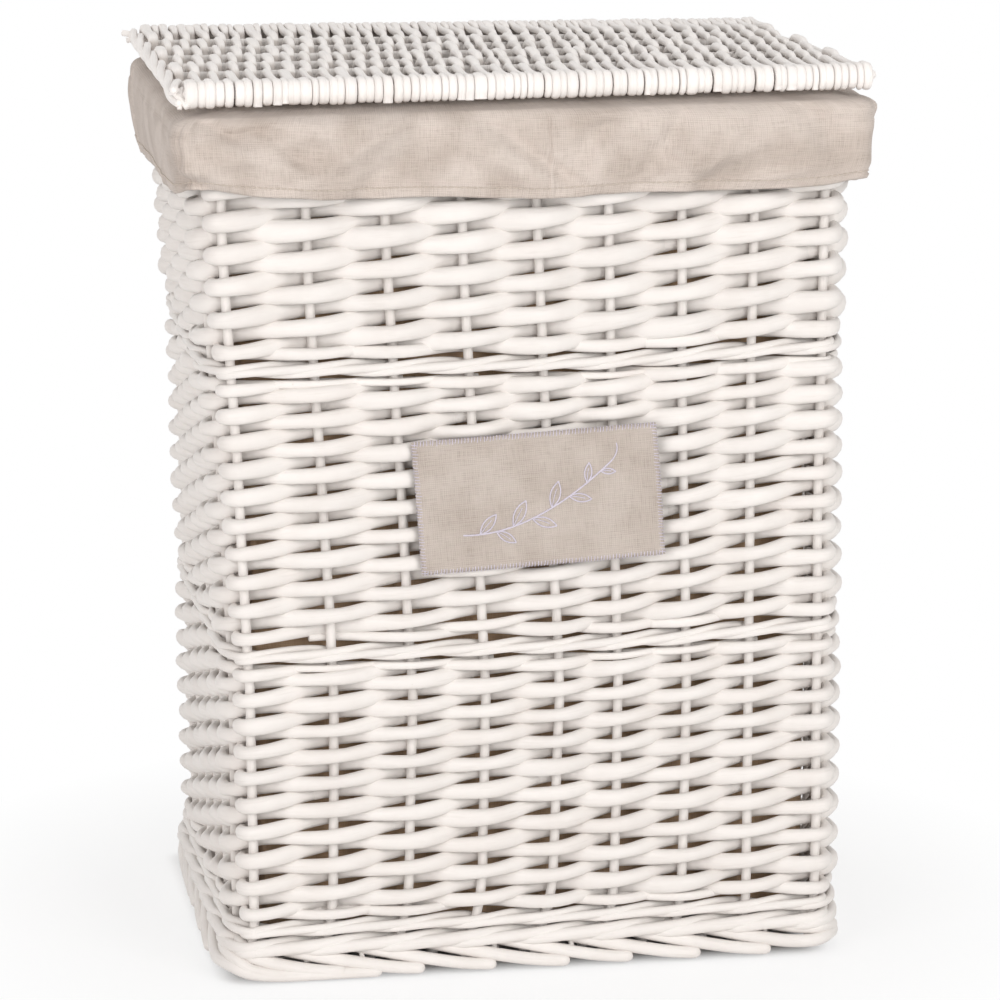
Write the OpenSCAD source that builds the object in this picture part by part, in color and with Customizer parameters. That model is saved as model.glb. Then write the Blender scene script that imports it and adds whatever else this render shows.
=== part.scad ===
// Woven willow laundry hamper: rectangular, with a hinged woven lid and a linen liner
// whose top is turned down over the rim as a cuff. Millimetres.
// Frame: origin on the floor under the middle of the hamper, +Z up, the front faces -Y.

/* [Basket body] */
// Gap from one upright stake to the next, at the foot
stake_gap = 48; // [46:0.6:52]
// How much wider that gap is at the rim
gap_growth = 1.2; // [0:0.6:2.4]
// How far the end row of stakes stands outside the front corner stakes
corner_out = 8; // [7:0.5:11]
// How far the first stake of an end row stands behind the front row
corner_back = 25; // [24:0.5:28]

/* [Stakes] */
// Thickness of an upright stake
stake_d = 6.6; // [5.4:0.2:6.6]
// Stakes along the front, and along the back
front_stakes = 9; // [9, 12]
// Stakes along each end
end_stakes = 6; // [6]

/* [Weave] */
// Rows of randing, one rod in front of one stake, below the lower wale
lower_rows = 18; // [12:1:20]
// Height of a row in the lower band
lower_pitch = 9.6; // [9.4:0.1:10.6]
// Rows of randing between the two wales
middle_rows = 18; // [12:1:20]
// Height of a row in the middle band
middle_pitch = 9.7; // [9.5:0.1:10.6]
// Rows of randing between the upper wale and the rim
upper_rows = 14; // [8:1:16]
// Height of a row in the upper band
upper_pitch = 10.2; // [10.1:0.1:10.8]
// Thickness of the weaving rods in the lower band
lower_rod_d = 9.3; // [7.5:0.1:9.3]
// Thickness of the weaving rods in the middle band
middle_rod_d = 9.4; // [7.5:0.1:9.4]
// Thickness of the weaving rods in the upper band
upper_rod_d = 9.7; // [7.5:0.1:9.7]
// Thickness of the rods of the two wales that part the bands
wale_rod_d = 4.6; // [3.6:0.2:4.6]
// Thickness of the rods of the wale at the foot
foot_wale_rod_d = 6.2; // [5:0.2:6.2]

/* [Foot and base] */
// Height of the border that the hamper stands on
foot_h = 16.2; // [16.2:0.1:17]
// Thickness of a foot border rod
foot_rod_d = 6.9; // [6:0.1:6.9]
// Thickness of the base's sticks
base_stick_d = 5; // [4:0.2:5]
// Thickness of the base's weaving rods
base_rod_d = 7; // [5:0.2:7]
// Weaving rods in the base
base_rods = 35; // [31:2:45]

/* [Rim and lid] */
// Thickness of the rolled border at the rim
rim_d = 16; // [12:1:16]
// Thickness of the lid's sticks and of its front and back bars
lid_stick_d = 6.6; // [5:0.2:6.6]
// Thickness of the lid's strands
lid_strand_d = 6; // [5:0.2:6]
// Thickness of the rod at each end of the lid
lid_edge_d = 6.1; // [5.1:0.2:6.1]
// Strands across the lid
lid_strands_n = 61; // [61]
// Distance of each hinge loop from the middle, in strands
hinge_at_strand = 17; // [9:1:22]
// Thickness of the cane that the hinge loops are bent from
loop_d = 2.4; // [1.8:0.1:2.6]

/* [Liner] */
// Thickness of the linen where it hangs inside
linen_t = 1.2; // [0.8:0.1:1.6]
// How far the cuff hangs down outside
cuff_h = 61; // [40:1:80]
// How far the cuff's top stands out from its hem, on each side
cuff_bulge = 6; // [0:1:8]

/* [Label] */
// Width of the sewn-on patch
label_w = 164; // [90:2:200]
// Height of the sewn-on patch
label_h = 90; // [50:2:110]
// Height of the patch's centre above the floor
label_z = 322; // [300:1:340]
// How far the patch is turned, in degrees, its right end up
label_turn = 3; // [0:1:6]

/* [Hidden] */
$fn = 32;
fit_gap = 0.05;
band_gap = 0.8;
FRONT = 0;
RIGHT = 1;
BACK = 2;
LEFT = 3;
SIDES = [FRONT, RIGHT, BACK, LEFT];
WILLOW = [0.94, 0.92, 0.90];
LINEN = [0.83, 0.78, 0.72];
CANE = [0.80, 0.71, 0.58];

// A band of weave: [lowest z, height of a row, rows, rod thickness, index of its first row].
function band_top(b) = b[0] + b[1] * b[2];
function next_index(b) = b[4] + b[2];
foot_wale = [foot_h, foot_wale_rod_d + 0.3, 4, foot_wale_rod_d, 0];
lower_band = [band_top(foot_wale) + band_gap, lower_pitch, lower_rows, lower_rod_d, 0];
lower_wale = [band_top(lower_band) + band_gap, wale_rod_d + 0.1, 3, wale_rod_d, 0];
middle_band = [band_top(lower_wale) + band_gap, middle_pitch, middle_rows, middle_rod_d,
               next_index(lower_band)];
upper_wale = [band_top(middle_band) + band_gap, wale_rod_d + 0.1, 3, wale_rod_d, 1];
upper_band = [band_top(upper_wale) + band_gap, upper_pitch, upper_rows, upper_rod_d,
              next_index(middle_band)];

// How much of the flare is reached at height z.
function risen(z) = z / rim_z;
// Gap between two stakes at height z, in steps that keep a row's bends exactly in line.
function gap_at(z) = 0.012 * round((stake_gap + gap_growth * risen(z)) / 0.012);
function stakes_on(side) = side % 2 == 0 ? front_stakes : end_stakes;
// Length of a side's row of stakes, and the place of one of them in it.
function row_at(side, z) = (stake_gap + gap_growth * risen(z)) * (stakes_on(side) - 1);
function stake_x(side, i, z) = (i / (stakes_on(side) - 1) - 0.5) * row_at(side, z);
// Distance of a side's row of stakes from the middle of the hamper.
function line_at(side, z) =
    row_at(side + 1, z) / 2 + (side % 2 == 0 ? corner_back : corner_out);
// Number of the side's first stake, counted round the hamper from the front left corner.
function first_stake(side) = side == FRONT ? 0
    : side == RIGHT ? front_stakes
    : side == BACK ? front_stakes + end_stakes
    : 2 * front_stakes + end_stakes;

// Slope of a rod where it crosses a row of uprights, as [sine, cosine].
WALL_SLOPE = [0.6, 0.8];
WALE_SLOPE = [0.28, 0.96];
PANEL_SLOPE = [0.5376, 0.8432];
// How far a rod passes beside an upright when it is nothing but arcs of one slope.
function arc_reach(gap, slope) = gap / 2 * (1 - slope[1]) / slope[0];

rim_gap = stake_gap + gap_growth;
wall_half = arc_reach(rim_gap, WALL_SLOPE) + upper_rod_d / 2;
linen_clear = 0.3;
linen_top_t = 2.3;

base_sticks_n = 7;
base_gap = 41.664;
base_rod_reach = arc_reach(base_gap, PANEL_SLOPE);

lid_sticks_n = 6;
lid_bars = lid_sticks_n + 2;
lid_gap = 43.68;
lid_reach = arc_reach(lid_gap, PANEL_SLOPE);
lid_bar_y = lid_gap * (lid_bars - 1) / 2;
lid_rise = 0.3 + lid_reach + lid_strand_d / 2;

// The hinge loops run straight from the rim border to the lid's back bar.
LOOP_SLOPE = [0.28, 0.96];
loop_path = [lid_bar_y - rim_gap * (end_stakes - 1) / 2 - corner_back,
             rim_d / 2 + fit_gap + linen_top_t + lid_rise];
loop_apart = 0.05 * round(norm(loop_path) / 0.05);
loop_bar_r = (lid_stick_d + loop_d) / 2 + 0.15;
loop_border_r = loop_bar_r + LOOP_SLOPE[0] * loop_apart;
// They pass under the border, so it stands clear of the last row of weave.
rim_z = band_top(upper_band) + loop_border_r + loop_d / 2 + 0.2;
rim_top = rim_z + rim_d / 2;
mouth_z = rim_top + fit_gap + linen_top_t;

foot_rod_z = foot_h - foot_rod_d / 2 - 0.35;
foot_rod_out = (stake_d + foot_rod_d) / 2 + fit_gap;
foot_step_out = 5.4;
foot_step_down = 4.6;
foot_tip = 8;

base_z = foot_h - base_stick_d / 2 - 0.1;
base_half_w = stake_gap * (front_stakes - 1) / 2 + corner_out
    - stake_d / 2 - foot_wale_rod_d - 4;
base_rod_pitch = 2 * (base_half_w - base_rod_d / 2 - 7) / (base_rods - 1);
base_top = base_z + base_rod_reach + base_rod_d / 2;

lid_half_w = rim_gap * (front_stakes - 1) / 2 + corner_out + 19.7;
lid_z = mouth_z + lid_rise;
lid_edge_x = lid_half_w - lid_edge_d / 2 - 4.5;
lid_strand_pitch = 2 * (lid_edge_x - (lid_edge_d + lid_strand_d) / 2 - 0.9) / (lid_strands_n - 1);
lid_last = (lid_strands_n - 1) / 2;
loop_x = hinge_at_strand * lid_strand_pitch;

// ---- rods ----

// A rod bent to radius bend_r about the origin, on through angle from straight down (-y).
module bent_rod(bend_r, angle, d) {
    rotate([0, 0, 270])
        rotate_extrude(angle = angle)
            translate([bend_r, 0])
                circle(d = d);
}

// The part of a ring of rod that the flat shape of corners lets through.
module ring_part(bend_r, d, corners) {
    intersection() {
        rotate_extrude()
            translate([bend_r, 0])
                circle(d = d);
        linear_extrude(2 * d, center = true)
            polygon(corners);
    }
}

// A bend that reaches the given slope to the left, to the right or to both.
module pass_arc(bend_r, slope, to_left, to_right, d) {
    far = 100;
    left = to_left ? [-slope[0], -slope[1]] * far : [0, -far];
    right = to_right ? [slope[0], -slope[1]] * far : [0, -far];
    ring_part(bend_r, d, [[0, 0], left, right]);
}

// A straight rod from p to q.
module straight_rod(p, q, d) {
    v = q - p;
    translate(p)
        rotate([0, acos(v[2] / norm(v)), atan2(v[1], v[0])])
            cylinder(h = norm(v), d = d);
}

// A straight rod from p to q with a rounded tip beyond q.
module tipped_rod(p, q, d) {
    v = q - p;
    translate(p)
        rotate([0, acos(v[2] / norm(v)), atan2(v[1], v[0])])
            rotate_extrude() {
                square([d / 2, norm(v)]);
                translate([0, norm(v)])
                    intersection() {
                        circle(d = d);
                        square(d);
                    }
            }
}

// A rod woven along x past a row of uprights, whose outer side is towards -y.
// outside[i] says whether it passes outside upright i. Between two uprights where it
// changes side, its centre line crosses theirs: arc, straight at the slope, arc.
// wraps gives the turn round the first and the last upright.
module woven_rod(outside, gap, reach, slope, d, wraps) {
    n = len(outside);
    bend_r = (slope[0] * gap / 2 - slope[1] * reach) / (1 - slope[1]);
    link = (gap - 2 * slope[0] * bend_r) / slope[1];
    for (i = [0 : n - 1]) {
        side = outside[i] ? 1 : -1;
        to_left = i > 0 && outside[max(i - 1, 0)] != outside[i];
        to_right = i < n - 1 && outside[min(i + 1, n - 1)] != outside[i];
        translate([(i - (n - 1) / 2) * gap, 0, 0]) scale_y(side) {
            if (to_left || to_right)
                translate([0, bend_r - reach, 0])
                    pass_arc(bend_r, slope, to_left, to_right, d);
            if (to_right && link > 0.01)
                translate([slope[0] * bend_r, (1 - slope[1]) * bend_r - reach, 0])
                    rotate([0, 0, asin(slope[0])])
                        rotate([0, 90, 0])
                            cylinder(h = link, d = d);
            if (i < n - 1 && !to_right)
                translate([0, -reach, 0])
                    rotate([0, 90, 0])
                        cylinder(h = gap, d = d);
            if (i == 0 && wraps[0] > 0)
                mirror([1, 0, 0])
                    bent_rod(reach, wraps[0], d);
            if (i == n - 1 && wraps[1] > 0)
                bent_rod(reach, wraps[1], d);
        }
    }
}

// Mirrors its children in y where side is -1.
module scale_y(side) {
    if (side > 0)
        children();
    else
        mirror([0, 1, 0])
            children();
}

// Places children on a side's row of stakes at height z: x along the side, -y outwards.
module on_side(side, z) {
    rotate([0, 0, 90 * side])
        translate([0, -line_at(side, z), z])
            children();
}

// ---- uprights ----

module stakes(side) {
    low = foot_h - 12;
    high = rim_z - rim_d / 2 + 0.5;
    color(WILLOW)
        difference() {
            for (i = [0 : stakes_on(side) - 1])
                rotate([0, 0, 90 * side])
                    straight_rod([stake_x(side, i, low), -line_at(side, low), low],
                                 [stake_x(side, i, high), -line_at(side, high), high],
                                 stake_d);
            rim_ring(rim_d + 2 * fit_gap);
        }
}

module stakes_front() { stakes(FRONT); }
module stakes_right() { stakes(RIGHT); }
module stakes_back() { stakes(BACK); }
module stakes_left() { stakes(LEFT); }

// ---- woven walls ----

// One row on one side. In randing a rod passes outside every second stake, in a wale
// outside two stakes of three. repeat is 2 or 3, shift moves the pattern along.
module wall_row(side, z, d, repeat, shift) {
    n = stakes_on(side);
    all_n = 2 * (front_stakes + end_stakes);
    gap = gap_at(z);
    slope = repeat == 2 ? WALL_SLOPE : WALE_SLOPE;
    reach = repeat == 2 ? arc_reach(gap, slope) : (stake_d + d) / 2 + 0.06;
    flag = [for (i = [-1 : n])
        (first_stake(side) + i + all_n + shift) % repeat != repeat - 1];
    outside = [for (i = [1 : n]) flag[i]];
    wraps = [outside[0] ? (flag[0] ? 38 : 80) : 0,
             outside[n - 1] ? (flag[n + 1] ? 38 : 80) : 0];
    on_side(side, z)
        woven_rod(outside, gap, reach, slope, d, wraps);
}

module siding(side, band) {
    color(WILLOW)
        for (k = [0 : band[2] - 1])
            wall_row(side, band[0] + band[1] * (k + 0.5), band[3], 2, band[4] + k);
}

module wale(band) {
    color(WILLOW)
        for (side = SIDES)
            for (k = [0 : band[2] - 1])
                wall_row(side, band[0] + band[1] * (k + 0.5), band[3], 3, band[4] + k);
}

module siding_front_lower() { siding(FRONT, lower_band); }
module siding_right_lower() { siding(RIGHT, lower_band); }
module siding_back_lower() { siding(BACK, lower_band); }
module siding_left_lower() { siding(LEFT, lower_band); }
module siding_front_middle() { siding(FRONT, middle_band); }
module siding_right_middle() { siding(RIGHT, middle_band); }
module siding_back_middle() { siding(BACK, middle_band); }
module siding_left_middle() { siding(LEFT, middle_band); }
module siding_front_upper() { siding(FRONT, upper_band); }
module siding_right_upper() { siding(RIGHT, upper_band); }
module siding_back_upper() { siding(BACK, upper_band); }
module siding_left_upper() { siding(LEFT, upper_band); }
module wale_foot() { wale(foot_wale); }
module wale_lower() { wale(lower_wale); }
module wale_upper() { wale(upper_wale); }

// ---- foot border ----

// Where a foot rod is after t gaps: it works its way out and down from its own stake.
function foot_point(x0, t) =
    [x0 + t * stake_gap, -foot_rod_out - t * foot_step_out, foot_rod_z - t * foot_step_down];

// A stretch of a foot rod, from t0 to t1 gaps past its own stake.
module foot_run(side, x0, t0, t1) {
    on_side(side, 0)
        tipped_rod(foot_point(x0, t0), foot_point(x0, t1), foot_rod_d);
}

// The level rod that bends round the corner at the end of a side.
module foot_corner_rod(side) {
    path = foot_point(0, 1);
    bend_r = corner_out - path[1];
    level = corner_back - corner_out;
    even = side % 2 == 0;
    corner_x = line_at((side + 1) % 4, 0) - corner_out;
    on_side(side, 0)
        translate([corner_x, path[1] + bend_r, path[2]]) {
            bent_rod(bend_r, 90, foot_rod_d);
            if (even)
                translate([bend_r, 0, 0])
                    rotate([-90, 0, 0])
                        cylinder(h = level, d = foot_rod_d);
            else
                translate([-level, -bend_r, 0])
                    rotate([0, 90, 0])
                        cylinder(h = level, d = foot_rod_d);
        }
}

module foot_border() {
    past = 2 + foot_tip / stake_gap;
    short = 1 - (foot_rod_d / 2 + 0.8) / stake_gap;
    color(WILLOW)
        difference() {
            for (side = SIDES) {
                last = stakes_on(side) - 1;
                foot_corner_rod(side);
                foot_run(side, stake_x(side, -1, 0), 1.02, past);
                for (i = [0 : last - 2])
                    foot_run(side, stake_x(side, i, 0), 0, past);
                foot_run(side, stake_x(side, last - 1, 0), 0, short);
            }
            translate([-300, -300, -foot_h])
                cube([600, 600, foot_h]);
        }
}

// ---- base ----

module base_sticks() {
    edge = base_gap * (base_sticks_n - 1) / 2;
    color(WILLOW)
        for (i = [0 : base_sticks_n - 1]) {
            y = i * base_gap - edge;
            half = i == 0 || i == base_sticks_n - 1 ? base_half_w : line_at(RIGHT, 0);
            translate([-half, y, base_z])
                rotate([0, 90, 0])
                    cylinder(h = 2 * half, d = base_stick_d);
        }
}

// A strand woven from front to back over a row of sticks, at x on a panel at height z.
module panel_strand(x, z, y0, bars, gap, d, first_over, wraps) {
    over = [for (i = [0 : bars - 1]) (i % 2 == 0) == first_over];
    translate([x, y0 + (bars - 1) / 2 * gap, z])
        rotate([90, 0, 90])
            mirror([0, 1, 0])
                woven_rod(over, gap, arc_reach(gap, PANEL_SLOPE), PANEL_SLOPE, d, wraps);
}

module base_weave() {
    y0 = -base_gap * (base_sticks_n - 1) / 2;
    color(WILLOW)
        for (i = [0 : base_rods - 1])
            panel_strand((i - (base_rods - 1) / 2) * base_rod_pitch, base_z, y0,
                         base_sticks_n, base_gap, base_rod_d, i % 2 == 0, [80, 80]);
}

// ---- rim ----

// The rolled border's ring of diameter d: four straights and four corner bends,
// parted by a hair where one bundle of rods is tucked under the next.
module rim_ring(d) {
    bend_r = corner_back;
    for (side = SIDES)
        on_side(side, rim_z) {
            half = line_at((side + 1) % 4, rim_z) - bend_r;
            straight_rod([-half + 0.1, 0, 0], [half - 0.1, 0, 0], d);
            translate([half, bend_r, 0])
                bent_rod(bend_r, 90, d);
        }
}

module rim_border() {
    color(WILLOW)
        rim_ring(rim_d);
}

// ---- liner ----

// A box with rounded upright corners that widens from half size low to half size high.
module flared_box(low, high, z0, z1, r) {
    plate = 0.02;
    hull()
        for (sx = [-1, 1], sy = [-1, 1]) {
            translate([sx * (low[0] - r), sy * (low[1] - r), z0])
                cylinder(h = plate, r = r, $fn = 32);
            translate([sx * (high[0] - r), sy * (high[1] - r), z1 - plate])
                cylinder(h = plate, r = r, $fn = 32);
        }
}

// Half size of the liner's outside at height z, plus a margin.
function liner_half(z, more) =
    [line_at(RIGHT, z) - wall_half - linen_clear + more,
     line_at(FRONT, z) - wall_half - linen_clear + more];

module liner_bag() {
    z0 = base_top + linen_clear;
    z1 = rim_top + fit_gap;
    in_z = z0 + linen_t;
    color(LINEN)
        difference() {
            flared_box(liner_half(z0, 0), liner_half(z1, 0), z0, z1, 12);
            flared_box(liner_half(in_z, -linen_t), liner_half(z1, -linen_t), in_z, z1 + 1, 11);
        }
}

// Half size of the cuff's inside at height z, plus a margin.
function cuff_half(z, more) =
    [line_at(RIGHT, z) + wall_half + 0.7 + more, line_at(FRONT, z) + wall_half + 0.7 + more];

module liner_cuff() {
    hem_z = mouth_z - cuff_h;
    under = rim_top + fit_gap;
    cuff_t = 2.4;
    color(LINEN)
        difference() {
            flared_box(cuff_half(hem_z, cuff_t), cuff_half(mouth_z, cuff_t + cuff_bulge),
                       hem_z, mouth_z, 16);
            flared_box(cuff_half(hem_z, 0), cuff_half(under, cuff_bulge), hem_z - 1, under, 14);
            flared_box(liner_half(rim_z, -linen_t), liner_half(mouth_z, -linen_t),
                       rim_z, mouth_z + 1, 11);
            for (side = [-1, 1])
                translate([side * loop_x - loop_d / 2 - 0.6, line_at(BACK, rim_z) - rim_d, under - 1])
                    cube([loop_d + 1.2, 2 * rim_d, linen_top_t + 2]);
        }
}

// ---- label ----

module label_patch() {
    patch_t = 1.2;
    top = label_z + label_h / 2 + label_w / 2 * sin(label_turn);
    reach = arc_reach(rim_gap, WALL_SLOPE) + middle_rod_d / 2;
    color(LINEN)
        translate([0, -line_at(FRONT, top) - reach - 0.1, label_z])
            rotate([0, -label_turn, 0])
                translate([-label_w / 2, -patch_t, -label_h / 2])
                    cube([label_w, patch_t, label_h]);
}

// ---- hinge ----

// One cane loop round the rim border and the lid's back bar. It is drawn in its own
// plane with x along the line from the border's centre to the bar's.
module hinge_loop() {
    far = 50;
    up = [LOOP_SLOPE[0], LOOP_SLOPE[1]] * far;
    down = [up[0], -up[1]];
    translate([0, line_at(BACK, rim_z), rim_z])
        rotate([90, 0, 90])
            rotate([0, 0, atan2(loop_path[1], loop_path[0])]) {
                ring_part(loop_border_r, loop_d,
                          [[0, 0], up, [-far, far], [-far, -far], down]);
                translate([loop_apart, 0, 0])
                    ring_part(loop_bar_r, loop_d,
                              [[0, 0], down, [far, -far], [far, far], up]);
                for (side = [-1, 1])
                    scale_y(side)
                        rotate([0, 0, acos(LOOP_SLOPE[0])])
                            translate([loop_border_r, 0, 0])
                                rotate([90, 0, 0])
                                    cylinder(h = loop_apart * LOOP_SLOPE[1], d = loop_d);
            }
}

module hinge_loops() {
    color(CANE)
        for (side = [-1, 1])
            translate([side * loop_x, 0, 0])
                hinge_loop();
}

// ---- lid ----

module lid_bar(y) {
    translate([-lid_half_w, y, lid_z])
        rotate([0, 90, 0])
            cylinder(h = 2 * lid_half_w, d = lid_stick_d);
}

module lid_front_bar() {
    color(WILLOW)
        lid_bar(-lid_bar_y);
}

module lid_back_bar() {
    color(WILLOW)
        lid_bar(lid_bar_y);
}

module lid_sticks() {
    color(WILLOW)
        for (i = [1 : lid_sticks_n])
            lid_bar(-lid_bar_y + i * lid_gap);
}

// Each strand turns round the front and the back bar. The two at the hinge loops stop
// at the last stick, which leaves the back bar bare for the loops.
module lid_strands(first, last) {
    color(WILLOW)
        for (i = [first : last]) {
            at_loop = abs(i) == hinge_at_strand;
            panel_strand(i * lid_strand_pitch, lid_z, -lid_bar_y, at_loop ? lid_bars - 1 : lid_bars,
                         lid_gap, lid_strand_d, i % 2 == 0, [165, at_loop ? 0 : 165]);
        }
}

module lid_strands_left() { lid_strands(-lid_last, -16); }
module lid_strands_mid_left() { lid_strands(-15, -1); }
module lid_strands_mid_right() { lid_strands(0, 15); }
module lid_strands_right() { lid_strands(16, lid_last); }

module lid_edge(x) {
    color(WILLOW)
        panel_strand(x, lid_z, -lid_bar_y, lid_bars, lid_gap, lid_edge_d, false, [165, 165]);
}

module lid_edge_left() { lid_edge(-lid_edge_x); }
module lid_edge_right() { lid_edge(lid_edge_x); }

stakes_front();
stakes_right();
stakes_back();
stakes_left();
base_sticks();
base_weave();
foot_border();
wale_foot();
siding_front_lower();
siding_right_lower();
siding_back_lower();
siding_left_lower();
wale_lower();
siding_front_middle();
siding_right_middle();
siding_back_middle();
siding_left_middle();
wale_upper();
siding_front_upper();
siding_right_upper();
siding_back_upper();
siding_left_upper();
rim_border();
liner_bag();
liner_cuff();
label_patch();
hinge_loops();
lid_front_bar();
lid_back_bar();
lid_sticks();
lid_strands_left();
lid_strands_mid_left();
lid_strands_mid_right();
lid_strands_right();
lid_edge_left();
lid_edge_right();
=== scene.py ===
import math

import bmesh
import bpy
import numpy as np
from mathutils import Matrix, Vector


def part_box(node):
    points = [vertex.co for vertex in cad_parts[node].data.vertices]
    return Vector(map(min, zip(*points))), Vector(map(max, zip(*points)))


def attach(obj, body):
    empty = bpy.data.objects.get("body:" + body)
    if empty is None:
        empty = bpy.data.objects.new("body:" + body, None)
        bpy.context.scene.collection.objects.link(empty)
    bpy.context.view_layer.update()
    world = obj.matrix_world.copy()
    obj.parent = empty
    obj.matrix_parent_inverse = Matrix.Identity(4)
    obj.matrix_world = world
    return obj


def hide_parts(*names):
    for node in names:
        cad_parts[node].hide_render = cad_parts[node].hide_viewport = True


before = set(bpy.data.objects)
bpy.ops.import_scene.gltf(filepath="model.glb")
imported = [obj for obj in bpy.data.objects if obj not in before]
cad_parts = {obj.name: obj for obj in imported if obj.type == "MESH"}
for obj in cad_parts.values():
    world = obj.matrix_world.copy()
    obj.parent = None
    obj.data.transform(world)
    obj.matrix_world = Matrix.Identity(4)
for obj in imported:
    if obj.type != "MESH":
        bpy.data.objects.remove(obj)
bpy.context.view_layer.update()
MM = 0.001
RNG = np.random.default_rng(11)
UP = np.array([0.0, 0.0, 1.0])


def span(node, axis):
    """Lowest and highest place of a CAD node along an axis, in mm."""
    lo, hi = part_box(node)
    return lo[axis] / MM, hi[axis] / MM


def unit(v):
    return v / np.maximum(np.linalg.norm(v, axis=-1, keepdims=True), 1e-9)


def lengths_along(path):
    """How far along a path each of its places is."""
    return np.concatenate([[0], np.cumsum(np.linalg.norm(np.diff(path, axis=0), axis=1))])


def smooth(t):
    t = np.clip(t, 0, 1)
    return t * t * (3 - 2 * t)


# ---- sizes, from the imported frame

STAKES, FIRST_RIGHT, FIRST_BACK, FIRST_LEFT = 30, 9, 15, 24  # stakes are numbered from the front left
STAKE_R = 3.3
# The end walls stand this far outside the outer front stakes, and the front wall outside the end ones.
CORNER_OUT, CORNER_BACK = 8.0, 25.0
rim_z = span("rim_border", 2)[1] - 8.0
gap_rim = (-span("stakes_front", 0)[0] - STAKE_R) / 4
gap_foot = (-span("stakes_front", 1)[1] + STAKE_R - CORNER_BACK) / 2.5
lid_z = sum(span("lid_front_bar", 2)) / 2
lid_y = sum(span("lid_back_bar", 1)) / 2
lid_x = span("lid_front_bar", 0)[1]
BANDS = {
    "lower": (span("wale_foot", 2)[1], span("wale_lower", 2)[0]),
    "middle": (span("wale_lower", 2)[1], span("wale_upper", 2)[0]),
    "upper": (span("wale_upper", 2)[1], span("siding_front_upper", 2)[1] + 2),
}
ROWS = {"lower": 19, "middle": 19, "upper": 14}
FILL = {"lower": 1.18, "middle": 1.22, "upper": 1.29}  # a rod's height over its depth

# How the basket leans: sideways shifts in mm by height, at its corners.
LEAN_Z = [0, 40, 100, 200, 350, 420, 490, 530, 600]
LEAN = {
    "front left": [2, 7, 6.2, 5.6, -1.3, -5.5, -9.4, -9.8, -9],
    "front right": [2, 6, 5.4, 3.3, -0.8, -2.4, -2.6, -3.0, -5.5],
    "back left": [8, 11, 10.5, 9.5, 8, 5, 1, -1, -2],
    "back right": [8, 12, 11, 9, 4.5, 2.5, 0.5, 0, 0],
}
LEAN_X, LEAN_Y = 200, 145  # the half width and half depth over which the lean is shared
DIP_X, DIP_Y = 227, 150  # the same for the rim's dip
# How far each front stake stands to the right of its even place, low and high on the wall.
BUMP_Z = (0, 60, 186, 489, 560)
BUMP = np.array([[0, 7.3, 12.2, 13.9, 14.0, 6.8, 5.4, 0.8, 0],
                 [0, 5.4, 6.8, 7.8, 7.3, 4.5, 3.3, 2.5, 0]])


def gap_at(z):
    return gap_foot + (gap_rim - gap_foot) * np.clip(z / rim_z, 0, 1.05)


def half_width(z):
    return 4 * gap_at(z) + CORNER_OUT


def half_depth(z):
    return CORNER_BACK + 2.5 * gap_at(z)


def lean(x, y, z):
    """Sideways shift of the soft basket at a place."""
    back = np.clip((y + LEAN_Y) / (2 * LEAN_Y), 0, 1)
    side = np.clip((x + LEAN_X) / (2 * LEAN_X), 0, 1)
    fl, fr, bl, br = (np.interp(z, LEAN_Z, shifts) for shifts in LEAN.values())
    at_left = fl + (bl - fl) * back**2
    at_right = fr + (br - fr) * smooth(back * 5)
    return at_left * (1 - side) + at_right * side


def press(x, y):
    """How far the rim dips at the front left, under the lid's drooping corner; it rises at the right."""
    front = np.clip((DIP_Y - y) / (2 * DIP_Y), 0, 1)
    return (3.2 * np.clip(-x / DIP_X, -1, 1) + 0.4) * front


def lift(x, y, z):
    """The rows rise a little towards the front right corner, and the rim follows the lid."""
    window = smooth((z - 60) / 100) * smooth((570 - z) / 90)
    near_front = 1 - smooth((y + 140) / 200)
    rise = 6.5 * smooth((x - 30) / 170) * near_front * window
    return rise - press(x, y) * smooth((z - 568) / 4)


def stake(s, z):
    """Place of stake s at height z, with the directions out of the wall and along it."""
    s = int(s) % STAKES
    g, wide, deep = gap_at(z), half_width(z), half_depth(z)
    if s < FIRST_RIGHT:
        p, out, way = ((s - 4) * g, -deep), (0, -1, 0), (1, 0, 0)
    elif s < FIRST_BACK:
        p, out, way = (wide, (s - 11.5) * g), (1, 0, 0), (0, 1, 0)
    elif s < FIRST_LEFT:
        p, out, way = ((19 - s) * g, deep), (0, 1, 0), (-1, 0, 0)
    else:
        p, out, way = (-wide, (26.5 - s) * g), (-1, 0, 0), (0, -1, 0)
    x = p[0] + lean(p[0], p[1], z)
    if s < FIRST_RIGHT:
        low, high = BUMP[:, s]
        x += np.interp(z, BUMP_Z, (0, 0.7 * low, low, high, 0.6 * high))
    return np.array([x, p[1], z]), np.array(out, float), np.array(way, float)


# ---- meshes

def quads(rows, cols, closed=True):
    """The faces of a grid of points, whose columns go round where it's closed."""
    i, k = np.meshgrid(np.arange(rows - 1), np.arange(cols if closed else cols - 1), indexing="ij")
    k2 = (k + 1) % cols
    return np.stack([i * cols + k, i * cols + k2, (i + 1) * cols + k2, (i + 1) * cols + k], -1).reshape(-1, 4)


# The rings that close a rod's end: how far on and how wide, as shares of its radius.
ENDS = {"round": [(math.sin(a), math.cos(a)) for a in np.radians((35, 62, 84))], "cut": [(0.1182, 0.86)]}


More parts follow.
